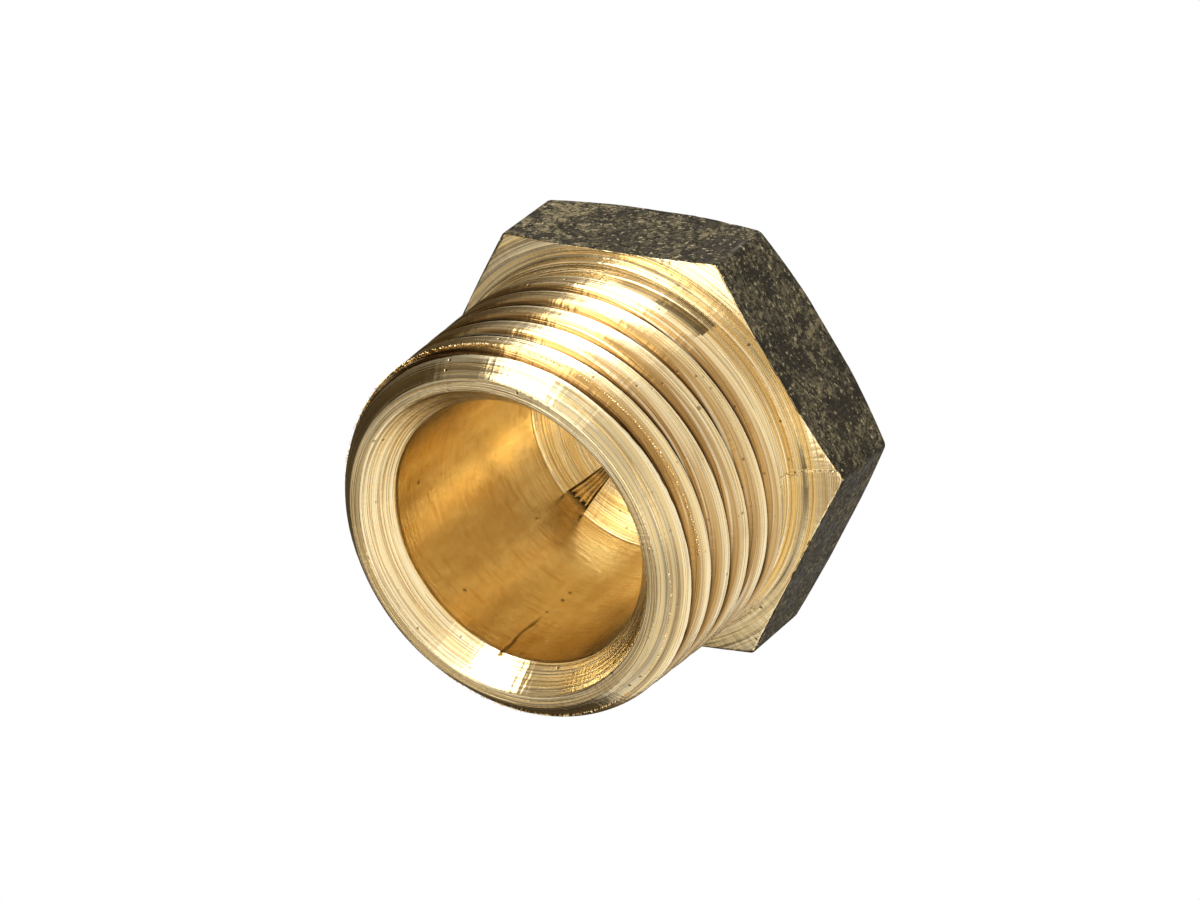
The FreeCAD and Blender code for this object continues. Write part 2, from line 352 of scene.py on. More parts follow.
# The notch reaches two rows into the round of the floor, the crack four into the chamfer.
FLOOR_ROWS, WALL_ROWS = 37, 84
number = np.arange(len(rows))[:, None]
on_floor = number < FLOOR_ROWS
on_wall = (number >= FLOOR_ROWS) & (number < WALL_ROWS)
outward = (R - 3.0) / 3.55
left, right_side = 221.8 - 2.1 * outward, 232.1 + 0.1 * outward
across = (np.degrees(A) - left) / (right_side - left)
along = np.clip((R - 1.6) / 1.6, 0, 1) * np.clip((6.6 - R) / 0.04, 0, 1)
inside = np.clip((across + 0.02) / 0.05, 0, 1) * np.clip((1.02 - across) / 0.05, 0, 1)
inside = inside * along * on_floor
strands = 0.5 + 0.5 * np.cos(2 * math.pi * (across * 4.0 + 0.12 * np.sin(R * 2.1 + 4 * across)))
side_cut = np.clip(1 - np.minimum(across, 1 - across) / 0.11, 0, 1)
end_cut = np.clip((R - 6.25) / 0.12, 0, 1)
sink = np.maximum(0.06 + 0.26 * strands, 0.60 * np.maximum(side_cut, end_cut))
Z = Z - inside * sink
near_crack = np.exp(-((np.degrees(A) - CRACK - 0.35 * np.sin(Z * 2.1)) / 0.28) ** 2)
crack_run = np.clip((Z - 12.4) / 1.2, 0, 1) * np.clip((16.4 - Z) / 0.2, 0, 1)
R = R + 0.14 * near_crack * crack_run * on_wall
print(f"the notch is {FLOOR_Z - Z[:FLOOR_ROWS].min():.2f} mm deep")

# %% [markdown]
# Soil and painted shade share one number from 0 to 1 on each point of the net. It marks
# painted shade in the notch and the crack, on the lead, in the foot of the collar and on one
# side of the underside, and soil thinly on the rim and where the thread runs out; the line of
# the step is darker too. The finishes turn it into colour.

# %% Where soil and painted shade lie
degrees = np.degrees(A)
# Painted shade in the notch, along its sides, at its end and in its deepest strands, and in the crack.
dark_strand = 0.8 * np.clip((strands - 0.92) / 0.07, 0, 1)
soil_and_shade = np.maximum(inside * np.maximum(np.maximum(side_cut, end_cut), dark_strand),
                  near_crack * crack_run * on_wall)
on_rim = (Z > LENGTH - 0.03) & (R > CHAMFER_R - 0.01)
soil_and_shade = np.maximum(soil_and_shade, 0.2 * on_rim * (R < RIM_R - 0.05))
run_out = np.clip((degrees - 51.3) / 0.4, 0, 1) * np.clip((92 - degrees) / 12, 0, 1)
run_out = run_out * np.clip((8.3 - Z) / 0.8, 0, 1) * np.clip((Z - 6.2) / 0.1, 0, 1) * (R > 9)
soil_and_shade = np.maximum(soil_and_shade, 0.75 * run_out)
# Painted shade in the corner at the foot of the collar, patchy round the plug.
foot = np.exp(-((Z - HEAD - 0.02) / 0.06) ** 2) * (np.abs(R - COLLAR_R) < 0.12)
patchy = 0.5 + 0.5 * np.sin(3 * A + 1) * np.sin(7 * A + 2)
soil_and_shade = np.maximum(soil_and_shade, 0.8 * foot * patchy)
# Painted shade on the lead at the mouth, patchy round the plug.
soil_and_shade = np.maximum(soil_and_shade, (0.28 + 0.14 * patchy) * (Z > 16.75) * (R > RIM_R - 0.05))
# Painted shade on one side of the underside, next to the collar.
painted_shade_side = np.clip((degrees - 96) / 14, 0, 1) * np.clip((156 - degrees) / 14, 0, 1)
painted_shade_side = painted_shade_side * (Z < HEAD + 0.01) * (Z > HEAD - 0.7) * (R > COLLAR_R - 0.02)
soil_and_shade = np.maximum(soil_and_shade, (0.22 + 0.12 * patchy) * painted_shade_side)
at_step = np.abs(degrees - 2.25) < 0.12
soil_and_shade = np.maximum(soil_and_shade, 0.8 * at_step * (Z < 7.8) * (Z > HEAD - 0.6) * (R > 9))
print(f"{(soil_and_shade > 0.5).mean() * 100:.1f}% of the net is soiled")

# %% [markdown]
# The net becomes a mesh: four neighbours make a face. Rows that meet in a point and the ends
# of the climbing rows fall together, so points in one place are merged. A map of its own
# keeps the run along the section and the angle; the brushed gloss of turned metal needs it
# to know which way the tool went.


# %% From net to mesh
def net_to_mesh(name):
    points = np.stack([R * np.cos(A), R * np.sin(A), Z], axis=2).reshape(-1, 3) * MM
    mesh = bpy.data.meshes.new(name)
    faces, finishes, runs = [], [], []
    for i in range(len(rows) - 1):
        climbs = thread_first <= i < thread_last
        for j in range(COLUMNS):
            last = j == COLUMNS - 1
            here, there = i, i + 1
            if last and climbs:
                count = len(climbing) - 1
                here = thread_first + count - joined(count - (i - thread_first))
                there = thread_first + count - joined(count - (i + 1 - thread_first))
            k = (j + 1) % COLUMNS
            faces.append((i * COLUMNS + j, here * COLUMNS + k, there * COLUMNS + k,
                          (i + 1) * COLUMNS + j))
            finishes.append(rows[i]["finish"])
            end = 1.0 if last else turns[k]
            runs += [(rows[i]["run"][j], turns[j]), (rows[here]["run"][k], end),
                     (rows[there]["run"][k], end), (rows[i + 1]["run"][j], turns[j])]
    mesh.from_pydata(points.tolist(), [], faces)
    layer = mesh.uv_layers.new(name="turning")
    layer.data.foreach_set("uv", np.array(runs, np.float32).ravel())
    for title, domain, kind, values in (
        ("finish", "FACE", "INT", np.array(finishes, np.int32)),
        ("cut", "POINT", "FLOAT", np.repeat([q["cut"] for q in rows], COLUMNS)),
        ("soil_and_shade", "POINT", "FLOAT", soil_and_shade.ravel()),
        ("skin", "POINT", "FLOAT", np.repeat([float(q["finish"] == SCALE) for q in rows], COLUMNS)),
        ("wall", "POINT", "FLOAT", np.repeat([float(q["finish"] == FORGED) for q in rows], COLUMNS)),
    ):
        mesh.attributes.new(title, kind, domain).data.foreach_set("value", values)
    welder = bmesh.new()
    welder.from_mesh(mesh)
    bmesh.ops.remove_doubles(welder, verts=welder.verts, dist=1e-7)
    bmesh.ops.recalc_face_normals(welder, faces=welder.faces)
    welder.to_mesh(mesh)
    welder.free()
    return mesh


blank = net_to_mesh("blank")
blank_object = bpy.data.objects.new("blank", blank)
bpy.context.scene.collection.objects.link(blank_object)
print(len(blank.vertices), "points,", len(blank.polygons), "faces in the blank")

# %% [markdown]
# The three finishes. Turned brass is bare metal with fine rings: its gloss is drawn out
# across the rings, which is what the anisotropy on the shader does, with the map telling it
# the direction. The thread tree below leaves three notes on it: how deep a point was cut, a
# browner tone on the side of each crest towards the mouth, and a painted highlight along the
# lip on the other side. Forged brass inside the bore has no rings, only hair lines, clouds and
# pits. The flats keep the dark scale of the forging: khaki crust, smooth dark patches, pale
# flecks and scratches.

# %% Pattern helpers for the finishes
def new_material(name, **constants):
    material = bpy.data.materials.new(name)
    material.use_nodes = True
    shader = material.node_tree.nodes["Principled BSDF"]
    for socket, value in constants.items():
        shader.inputs[socket.replace("_", " ")].default_value = value
    return material, Bench(material.node_tree), shader


def section_map(bench):
    """Run along the section in mm, and the direction round the axis as a unit vector."""
    uv = bench.add("ShaderNodeUVMap", uv_map="turning")
    run = bench.parts(uv)[0]
    place = bench.add("ShaderNodeTexCoord", output=3)
    around = bench.add("ShaderNodeVectorMath",
                       {0: bench.scaled(place, (1.0, 1.0, 0.0))}, operation="NORMALIZE")
    return run, around, place


def unrolled(bench, run, around, fineness, drift):
    """A place for noise: fineness along the section, drift round the axis."""
    x, y, _ = bench.parts(around)
    return bench.xyz(bench.math("MULTIPLY", run, fineness), bench.math("MULTIPLY", x, drift),
                     bench.math("MULTIPLY", y, drift))


def rings(bench, run, around, fineness, drift, detail=2.0):
    """Lines that follow the tool: quick changes along the section, slow ones round it."""
    return bench.noise(unrolled(bench, run, around, fineness, drift), 1.0, detail, 0.6)


def bump(bench, shader, height, distance, strength=1.0):
    normal = bench.add("ShaderNodeBump", {"Strength": strength, "Distance": distance,
                                          "Height": height})
    bench.join(shader.inputs["Normal"], normal)


# %% Turned brass
turned, bench, shader = new_material("turned_brass", Metallic=1.0, Anisotropic=0.9)
run, around, place = section_map(bench)
tangent_along = bench.add("ShaderNodeTangent", direction_type="UV_MAP", uv_map="turning")
bench.join(shader.inputs["Tangent"], tangent_along)
fine = rings(bench, run, around, 8.0, 0.5, 2.0)
coarse = rings(bench, run, around, 2.8, 0.35, 3.0)
lines = rings(bench, run, around, 4.6, 0.35, 2.0)
score = bench.step(bench.math("ABSOLUTE", bench.math("SUBTRACT", lines, 0.5)), 0.045, 0.015)
shine = bench.step(rings(bench, run, around, 7.0, 0.8, 1.0), 0.37, 0.31)
shade = bench.note("shade")
lip = bench.note("lip")
cloud = bench.noise(place, 260.0, 3.0, 0.6)
straw, bright, brown = (0.88, 0.68, 0.34, 1), (0.97, 0.84, 0.55, 1), (0.52, 0.31, 0.10, 1)
deep = bench.note("deep")
skin = bench.note("skin")
soil_and_shade_here = bench.note("soil_and_shade")
colour = bench.mix(bench.step(fine, 0.42, 0.58), straw, bright)
colour = bench.mix(bench.math("MULTIPLY", bench.step(cloud, 0.5, 0.75), 0.3), colour, brown)
# The side of each crest towards the mouth is browner, in streaks.
browner_mouthward = bench.math("MULTIPLY", shade, bench.math("MULTIPLY_ADD", bench.step(
    coarse, 0.35, 0.6), 0.35, 0.53))
colour = bench.mix(browner_mouthward, colour, (0.49, 0.29, 0.09, 1))
# Painted shade: the grooves get darker the deeper they are cut.
colour = bench.mix(bench.math("MULTIPLY", bench.step(deep, 0.05, 0.36), 0.55), colour,
                   (0.34, 0.19, 0.055, 1))
# Painted shade: the grooves are darkened more round the sides than on the face or the back, and the
# deeper the cut, the darker.
FACE_X, FACE_Y = 0.766, 0.643
x, y, _ = bench.parts(around)
facing = bench.math("MULTIPLY_ADD", x, FACE_X, bench.math("MULTIPLY", y, FACE_Y))
sides = bench.math("MULTIPLY", bench.step(facing, 0.80, 0.35), bench.math(
    "MULTIPLY_ADD", bench.step(facing, -0.5, 0.2), 0.7, 0.3))
painted_groove_shade = bench.math("MULTIPLY_ADD", sides, 0.36, bench.math("MULTIPLY_ADD", fine, 0.1, deep))
colour = bench.mix(bench.step(painted_groove_shade, 0.50, 0.76), colour, (0.06, 0.028, 0.009, 1))
# The tool's chatter leaves ripples across the rings.
chatter = bench.noise(unrolled(bench, run, around, 0.7, 34.0), 1.0, 1.0)
specks = bench.add("ShaderNodeTexVoronoi", {"Vector": place, "Scale": 1500.0})
dirt = bench.math("MULTIPLY", bench.step(specks, 0.17, 0.09),
                  bench.step(bench.noise(place, 900.0), 0.50, 0.60))
# A few larger spots: distance from the axis, direction in degrees, height, size.
SPOTS = [(10.41, 35.9, 11.33, 0.15), (7.48, -76.6, 16.42, 0.10), (8.22, -111.3, 17.41, 0.09),
         (8.28, -135.1, 17.49, 0.08), (8.35, -53.3, 17.57, 0.08), (8.18, 145.8, 17.35, 0.09)]
for r, toward, z, size in SPOTS:
    a = math.radians(toward)
    spot = Vector((r * math.cos(a), r * math.sin(a), z)) * MM
    away = bench.add("ShaderNodeVectorMath", {0: place, 1: tuple(spot)}, 1, operation="DISTANCE")
    dirt = bench.math("MAXIMUM", dirt, bench.step(away, size * MM, 0.7 * size * MM))
worn = bench.step(bench.math("MULTIPLY_ADD", bench.noise(place, 2400.0, 3.0, 0.6), 0.9, skin),
                  0.75, 0.9)
colour = bench.mix(bench.math("MULTIPLY", dirt, 0.75), colour, (0.16, 0.09, 0.04, 1))
colour = bench.mix(bench.math("MULTIPLY", score, 0.45), colour, (0.34, 0.19, 0.06, 1))
colour = bench.mix(bench.math("MULTIPLY", shine, 0.4), colour, (1.0, 0.92, 0.68, 1))
# Painted highlight along the lip of each crest.
colour = bench.mix(bench.math("MULTIPLY", lip, 0.7), colour, (1.0, 0.92, 0.68, 1))
# Soil, and the painted shade kept with it, darken the brass here.
soiled_and_shaded = bench.step(bench.math("MULTIPLY_ADD", fine, 0.9, soil_and_shade_here), 0.45, 1.35)
colour = bench.mix(soiled_and_shaded, colour, (0.09, 0.062, 0.030, 1))
colour = bench.mix(worn, colour, (0.06, 0.045, 0.025, 1))
bench.join(shader.inputs["Base Color"], colour)
gloss = bench.math("MULTIPLY_ADD", fine, 0.16, 0.12)
bench.join(shader.inputs["Roughness"], bench.math("MULTIPLY_ADD", lip, 0.25, gloss))
relief = bench.math("MULTIPLY_ADD", bench.step(coarse, 0.4, 0.6), 0.5, fine)
relief = bench.math("MULTIPLY_ADD", chatter, 1.2, relief)
relief = bench.math("SUBTRACT", relief, bench.math("ADD", dirt, score))
bump(bench, shader, relief, 0.000014, 0.9)
print("turned brass has", len(turned.node_tree.nodes), "nodes")

# %% Forged brass of the bore
forged, bench, shader = new_material("forged_brass", Metallic=1.0)
run, around, place = section_map(bench)
streaks = bench.noise(unrolled(bench, run, around, 0.25, 9.0), 1.0, 3.0)
hair = bench.noise(unrolled(bench, run, around, 4.5, 4.0), 1.0, 3.0)
grain = bench.noise(place, 2600.0, 3.0, 0.65)
cloud = bench.noise(place, 300.0, 3.0, 0.6)
colour = bench.mix(bench.step(streaks, 0.35, 0.65), (0.80, 0.645, 0.36, 1), (0.88, 0.745, 0.46, 1))
colour = bench.mix(bench.math("MULTIPLY", bench.step(cloud, 0.48, 0.72), 0.4), colour,
                   (0.66, 0.44, 0.19, 1))
colour = bench.mix(bench.math("MULTIPLY", bench.step(hair, 0.56, 0.66), 0.35), colour,
                   (0.58, 0.36, 0.14, 1))
# A painted highlight: one patch low on the wall, beside the notch, is coloured bright.
HIGHLIGHT_PATCH_R, HIGHLIGHT_PATCH_TOWARD, HIGHLIGHT_PATCH_Z = 6.75, math.radians(-107), 6.6
middle = (HIGHLIGHT_PATCH_R * MM * math.cos(HIGHLIGHT_PATCH_TOWARD), HIGHLIGHT_PATCH_R * MM * math.sin(HIGHLIGHT_PATCH_TOWARD),
          HIGHLIGHT_PATCH_Z * MM)
painted_highlight_patch = bench.add("ShaderNodeVectorMath", {0: place, 1: middle}, 1, operation="DISTANCE")
painted_highlight_patch = bench.math("MULTIPLY", bench.step(painted_highlight_patch, 2.3 * MM, 0.5 * MM),
                    bench.math("MULTIPLY_ADD", bench.step(hair, 0.40, 0.60), 0.35, 0.65))
colour = bench.mix(painted_highlight_patch, colour, (1.0, 0.93, 0.66, 1))
pits = bench.add("ShaderNodeTexVoronoi", {"Vector": place, "Scale": 1300.0})
pit = bench.math("MULTIPLY", bench.step(pits, 0.2, 0.08),
                 bench.step(bench.noise(place, 500.0), 0.56, 0.64))
colour = bench.mix(bench.math("MULTIPLY", pit, 0.7), colour, (0.18, 0.09, 0.03, 1))
# Painted shade in the notch and the crack.
colour = bench.mix(bench.note("soil_and_shade"), colour, (0.10, 0.05, 0.02, 1))
bench.join(shader.inputs["Base Color"], colour)
bench.join(shader.inputs["Roughness"], bench.math("MULTIPLY_ADD", grain, 0.16, 0.15))
relief = bench.math("MULTIPLY_ADD", hair, 0.9, bench.math("MULTIPLY", grain, 0.7))
bump(bench, shader, bench.math("SUBTRACT", relief, pit), 0.000020, 1.0)
print("forged brass has", len(forged.node_tree.nodes), "nodes")

# %% Scale on the flats
scale, bench, shader = new_material("forging_scale", Metallic=0.0, Specular_IOR_Level=0.15,
                                    Specular_Tint=(1.0, 0.86, 0.60, 1))
run, around, place = section_map(bench)
lying = bench.scaled(place, (1.0, 1.0, 1.4))
elsewhere = bench.add("ShaderNodeVectorMath", {0: lying, 1: (0.031, 0.012, 0.02)}, operation="ADD")
ground = bench.noise(lying, 3400.0, 6.0, 0.8)
patch = bench.noise(elsewhere, 480.0, 8.0, 0.66)
crust = bench.noise(elsewhere, 1500.0, 4.0, 0.65)
wide = bench.noise(place, 230.0, 3.0)
streak = bench.noise(unrolled(bench, run, around, 4.0, 18.0), 1.0, 6.0, 0.75)
grainy = bench.math("MULTIPLY_ADD", streak, 0.35, bench.math("MULTIPLY", ground, 0.65))
colour = bench.mix(bench.step(grainy, 0.45, 0.56), (0.008, 0.007, 0.004, 1), (0.082, 0.070, 0.042, 1))
one_side = bench.step(bench.parts(around)[1], 0.6, 0.95)
khaki = bench.math("MULTIPLY_ADD", one_side, -0.008, crust)
khaki = bench.math("MULTIPLY_ADD", bench.math("SUBTRACT", wide, 0.5), 0.5, khaki)
khaki = bench.math("MULTIPLY_ADD", bench.math("SUBTRACT", ground, 0.5), 0.4, khaki)
khaki = bench.step(khaki, 0.56, 0.62)
colour = bench.mix(bench.math("MULTIPLY", khaki, 0.75), colour, (0.165, 0.136, 0.076, 1))
holes = bench.step(bench.noise(elsewhere, 3600.0, 2.0, 0.5), 0.57, 0.63)
colour = bench.mix(bench.math("MULTIPLY", holes, 0.8), colour, (0.005, 0.004, 0.003, 1))
smooth_dark = bench.step(bench.math("MULTIPLY_ADD", ground, 0.12, patch), 0.588, 0.600)
colour = bench.mix(bench.math("MULTIPLY", smooth_dark, 0.85), colour, (0.010, 0.008, 0.006, 1))
flecks = bench.step(bench.noise(lying, 3900.0, 2.0, 0.5), 0.62, 0.68)
colour = bench.mix(bench.math("MULTIPLY", flecks, 0.7), colour, (0.33, 0.28, 0.17, 1))
scratch = bench.step(bench.noise(bench.scaled(elsewhere, (1.0, 1.0, 0.16)), 2600.0, 2.0), 0.66, 0.70)
colour = bench.mix(bench.math("MULTIPLY", scratch, 0.6), colour, (0.008, 0.007, 0.005, 1))
bench.join(shader.inputs["Base Color"], colour)
bench.join(shader.inputs["Roughness"], bench.math(
    "SUBTRACT", bench.math("MULTIPLY_ADD", crust, 0.4, 0.35), bench.math("MULTIPLY", smooth_dark, 0.15)))
relief = bench.math("MULTIPLY_ADD", crust, 0.8, ground)
relief = bench.math("MULTIPLY", relief, bench.math("MULTIPLY_ADD", smooth_dark, -0.85, 1.0))
relief = bench.math("SUBTRACT", relief, bench.math("MULTIPLY", bench.math(
    "MAXIMUM", scratch, holes), 0.6))
bump(bench, shader, relief, 0.00011, 1.0)
print("the scale has", len(scale.node_tree.nodes), "nodes")

# %% Bright torn metal of the burrs
burr_metal, bench, shader = new_material("burr_brass", Metallic=1.0, Roughness=0.3)
place = bench.add("ShaderNodeTexCoord", output=3)
bench.join(shader.inputs["Base Color"], bench.mix(
    bench.step(bench.noise(place, 900.0), 0.4, 0.6), (0.80, 0.56, 0.24, 1), (0.97, 0.85, 0.55, 1)))
print("the burrs are brighter than the scale beside them")

# %% [markdown]
# The thread follows a rule, so a tree of geometry nodes cuts it. For each point of the blank
# it works out the angle and the height, finds the nearest turn of the groove, and draws the
# point in to the groove's own surface where that is lower, just as a threading tool does.
# Pitch, depth and flank are named inputs. Noise tears the edges a little, more at the mouth,
# where the first turn is thin.


# %% Tree that cuts the thread
def new_tree(name, sockets):
    """A geometry tree with named number inputs and a mesh in and out."""
    tree = bpy.data.node_groups.new(name, "GeometryNodeTree")
    tree.interface.new_socket("Geometry", in_out="INPUT", socket_type="NodeSocketGeometry")
    for title, value in sockets:
        kind = "NodeSocketMaterial" if value is None else (
            "NodeSocketInt" if isinstance(value, int) else "NodeSocketFloat")
        socket = tree.interface.new_socket(title, in_out="INPUT", socket_type=kind)
        if value is not None:
            socket.default_value = value
    tree.interface.new_socket("Geometry", in_out="OUTPUT", socket_type="NodeSocketGeometry")
    entry = tree.nodes.new("NodeGroupInput")
    return tree, Bench(tree), {s.name: s for s in entry.outputs if s.name}


def finish_tree(bench, geometry):
    end = bench.tree.nodes.new("NodeGroupOutput")
    bench.join(end.inputs[0], geometry)


def run_tree(source, tree, values, name):
    """Runs the tree on the source and returns the result as a plain mesh object."""
    modifier = source.modifiers.new(tree.name, "NODES")
    modifier.node_group = tree
    for item in tree.interface.items_tree:
        if item.in_out == "INPUT" and item.name in values:
            modifier[item.identifier] = values[item.name]
    graph = bpy.context.evaluated_depsgraph_get()
    mesh = bpy.data.meshes.new_from_object(source.evaluated_get(graph))
    mesh.name = name
    source.modifiers.remove(modifier)
    piece = bpy.data.objects.new(name, mesh)
    bpy.context.scene.collection.objects.link(piece)
    return piece


def attribute(bench, name, kind="FLOAT"):
    return bench.add("GeometryNodeInputNamedAttribute", {"Name": name}, data_type=kind)


thread_tree, bench, sizes = new_tree("cut_thread", [
    ("Pitch", PITCH * MM), ("Depth", DEPTH * MM), ("Flank", FLANK), ("Root half", ROOT_HALF * MM),
    ("Start height", THREAD_END * MM), ("Mouth height", LENGTH * MM),
    ("Mouth crest", MOUTH_CREST * MM), ("Half taper", HALF_TAPER), ("Crest round", 0.85 * MM),
    ("Tearing", 0.03 * MM), ("Dents", 0.03 * MM), ("Turned", None), ("Forged", None),
    ("Scale skin", None)])
where = bench.add("GeometryNodeInputPosition")
x, y, z = bench.parts(where)
radius = bench.math("SQRT", bench.math("ADD", bench.math("MULTIPLY", x, x),
                                       bench.math("MULTIPLY", y, y)))
angle = bench.math("ARCTAN2", y, x)
turn = bench.math("DIVIDE", bench.math("MULTIPLY_ADD", bench.math("LESS_THAN", angle, -1e-6),
                                       2 * math.pi, angle), 2 * math.pi)
climbed = bench.math("SUBTRACT", bench.math("DIVIDE", bench.math(
    "SUBTRACT", z, sizes["Start height"]), sizes["Pitch"]), turn)
nearest = bench.math("MAXIMUM", bench.math("ROUND", climbed), 0.0)
off = bench.math("MULTIPLY", bench.math("SUBTRACT", climbed, nearest), sizes["Pitch"])
mouthward = bench.step(z, 13.5 * MM, 16.8 * MM)
ripple = bench.math("SUBTRACT", bench.noise(where, 2300.0, 3.0, 0.6), 0.5)
tear = bench.math("MULTIPLY", bench.math("MULTIPLY", ripple, sizes["Tearing"]),
                  bench.math("MULTIPLY_ADD", mouthward, 2.6, 1.0))
off = bench.math("ADD", off, tear)
# A band on the headward edge of each crest, which carries a painted highlight.
lip = bench.math("MULTIPLY", bench.step(off, 0.34 * MM, 0.40 * MM),
                 bench.step(off, 0.56 * MM, 0.48 * MM))
# The side of each crest towards the mouth is coloured browner.
browned = bench.math("MULTIPLY", bench.math("LESS_THAN", off, 0.0), bench.step(
    bench.math("ABSOLUTE", off), 0.96 * MM, 0.52 * MM))
# The side of a crest that faces the mouth is worn rounder than the other.
wear = bench.math("MULTIPLY", sizes["Crest round"], bench.math(
    "MULTIPLY_ADD", bench.math("LESS_THAN", off, 0.0), 0.85, 0.15))
off = bench.math("ABSOLUTE", off)
crest_here = bench.math("MULTIPLY_ADD", bench.math("SUBTRACT", sizes["Mouth height"], z),
                        sizes["Half taper"], sizes["Mouth crest"])
climb = bench.math("DIVIDE", bench.math("MAXIMUM", bench.math(
    "SUBTRACT", off, sizes["Root half"]), 0.0), sizes["Flank"])
groove = bench.math("ADD", bench.math("SUBTRACT", crest_here, sizes["Depth"]), climb)
depth_here = bench.math("SUBTRACT", radius, groove)
in_groove = bench.math("MULTIPLY", bench.step(depth_here, 0.0, 0.06 * MM), attribute(bench, "cut"))
rough = bench.math("MULTIPLY", bench.math("MULTIPLY", bench.noise(where, 3600.0, 3.0, 0.65),
                                          sizes["Tearing"]), bench.math("MULTIPLY", in_groove, 0.9))
lowered = bench.math("SUBTRACT", bench.math("SMOOTH_MIN", radius, groove, wear),
                     rough)
blend = attribute(bench, "cut")
new_radius = bench.math("ADD", bench.math("MULTIPLY", lowered, blend),
                        bench.math("MULTIPLY", radius, bench.math("SUBTRACT", 1.0, blend)))
shrink = bench.math("DIVIDE", new_radius, bench.math("MAXIMUM", radius, 1e-6))
cut_place = bench.xyz(bench.math("MULTIPLY", x, shrink), bench.math("MULTIPLY", y, shrink), z)
store = bench.tree.nodes.new("GeometryNodeStoreNamedAttribute")
store.data_type, store.domain = "FLOAT", "POINT"
bench.join(store.inputs["Geometry"], sizes["Geometry"])
bench.join(store.inputs["Name"], "deep")
bench.join(store.inputs["Value"], bench.math("MULTIPLY", blend, bench.math(
    "DIVIDE", bench.math("SUBTRACT", radius, lowered), sizes["Depth"])))
in_thread = bench.math("MULTIPLY", blend, bench.math(
    "MULTIPLY", bench.step(z, 7.0 * MM, 7.9 * MM), bench.step(z, 17.1 * MM, 16.9 * MM)))
stored = store.outputs[0]
for title, value in (("shade", browned), ("lip", lip)):
    note = bench.tree.nodes.new("GeometryNodeStoreNamedAttribute")
    note.data_type, note.domain = "FLOAT", "POINT"
    bench.join(note.inputs["Geometry"], stored)
    bench.join(note.inputs["Name"], title)
    bench.join(note.inputs["Value"], bench.math("MULTIPLY", in_thread, value))
    stored = note.outputs[0]
set_place = bench.tree.nodes.new("GeometryNodeSetPosition")
bench.join(set_place.inputs["Geometry"], stored)
bench.join(set_place.inputs["Position"], cut_place)

# The skin of the forging: low waves and pits, always pressed in, never out of the outline.
normal = bench.add("GeometryNodeInputNormal")
place = bench.add("GeometryNodeInputPosition")
pit_field = bench.add("ShaderNodeTexVoronoi", {"Vector": place, "Scale": 900.0})
pit_depth = bench.math("MULTIPLY", bench.step(pit_field, 0.35, 0.1),
                       bench.step(bench.noise(place, 500.0), 0.5, 0.62))
wave = bench.noise(bench.scaled(place, (1.0, 1.0, 0.5)), 700.0, 4.0, 0.6)
skin = bench.math("MULTIPLY", attribute(bench, "skin"),
                  bench.math("ADD", wave, bench.math("MULTIPLY", pit_depth, 1.2)))
draw = bench.noise(bench.scaled(place, (1.0, 1.0, 0.12)), 420.0, 2.0)
skin = bench.math("MULTIPLY_ADD", attribute(bench, "wall"), bench.math("MULTIPLY", draw, 0.8), skin)
press = bench.math("MULTIPLY", skin, bench.math("MULTIPLY", sizes["Dents"], -1.0))
move = bench.add("ShaderNodeVectorMath", {0: normal, "Scale": press}, operation="SCALE")
dent = bench.tree.nodes.new("GeometryNodeSetPosition")
bench.join(dent.inputs["Geometry"], set_place.outputs[0])
bench.join(dent.inputs["Offset"], move)
smooth = bench.add("GeometryNodeSetShadeSmooth", {"Geometry": dent.outputs[0]})
geometry = bench.add("GeometryNodeRealizeInstances", {"Geometry": smooth})
for number, title in ((TURNED, "Turned"), (FORGED, "Forged"), (SCALE, "Scale skin")):
    chosen = bench.add("FunctionNodeCompare", {2: attribute(bench, "finish", "INT"), 3: number},
                       data_type="INT", operation="EQUAL")
    geometry = bench.add("GeometryNodeSetMaterial", {"Geometry": geometry, "Selection": chosen,
                                                     "Material": sizes[title]})
finish_tree(bench, geometry)
print("the thread tree has", len(thread_tree.nodes), "nodes")

# %% The plug
for finish in (turned, forged, scale):
    blank.materials.append(finish)
plug = run_tree(blank_object, thread_tree, {
    "Turned": turned, "Forged": forged, "Scale skin": scale}, "plug")
bpy.data.objects.remove(blank_object)
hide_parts("plug_body")
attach(plug, "root")
print(len(plug.data.polygons), "faces,", [m.name for m in plug.data.materials])

# %% [markdown]
# Where the facing tool ran off the forged flats it left a torn, bright burr, and small chips
# cling to the mouth, to the step and to the edge of the first turn. A second tree strews lumps
# along a line: it walks the line at a named spacing, jogs each spot, and puts a squashed
# little stone there, turned at random. The seed is fixed, so each run gives the same burrs.


# %% Tree that strews burrs along a line
burr_tree, bench, sizes = new_tree("strew_burrs", [
    ("Spacing", 0.2 * MM), ("Lump", 0.05 * MM), ("Jog", 0.03 * MM), ("Share", 0.7), ("Seed", 3),
    ("Metal", None)])
line = bench.add("GeometryNodeMeshToCurve", {"Mesh": sizes["Geometry"]})
resample = bench.tree.nodes.new("GeometryNodeResampleCurve")
if hasattr(resample, "mode"):
    resample.mode = "LENGTH"
bench.join(resample.inputs["Curve"], line)
bench.join(resample.inputs["Length"], sizes["Spacing"])
spots = bench.add("GeometryNodeCurveToPoints", {"Curve": resample.outputs[0]}, mode="EVALUATED")


def random_value(bench, kind, low, high, seed_shift):
    node = bench.tree.nodes.new("FunctionNodeRandomValue")
    node.data_type = kind
    if kind == "BOOLEAN":
        bench.join(node.inputs["Probability"], low)
    else:
        bench.join(node.inputs[0], low)
        bench.join(node.inputs[1], high)
    bench.join(node.inputs["Seed"], bench.math("ADD", sizes["Seed"], seed_shift))
    return next(o for o in node.outputs if o.enabled)


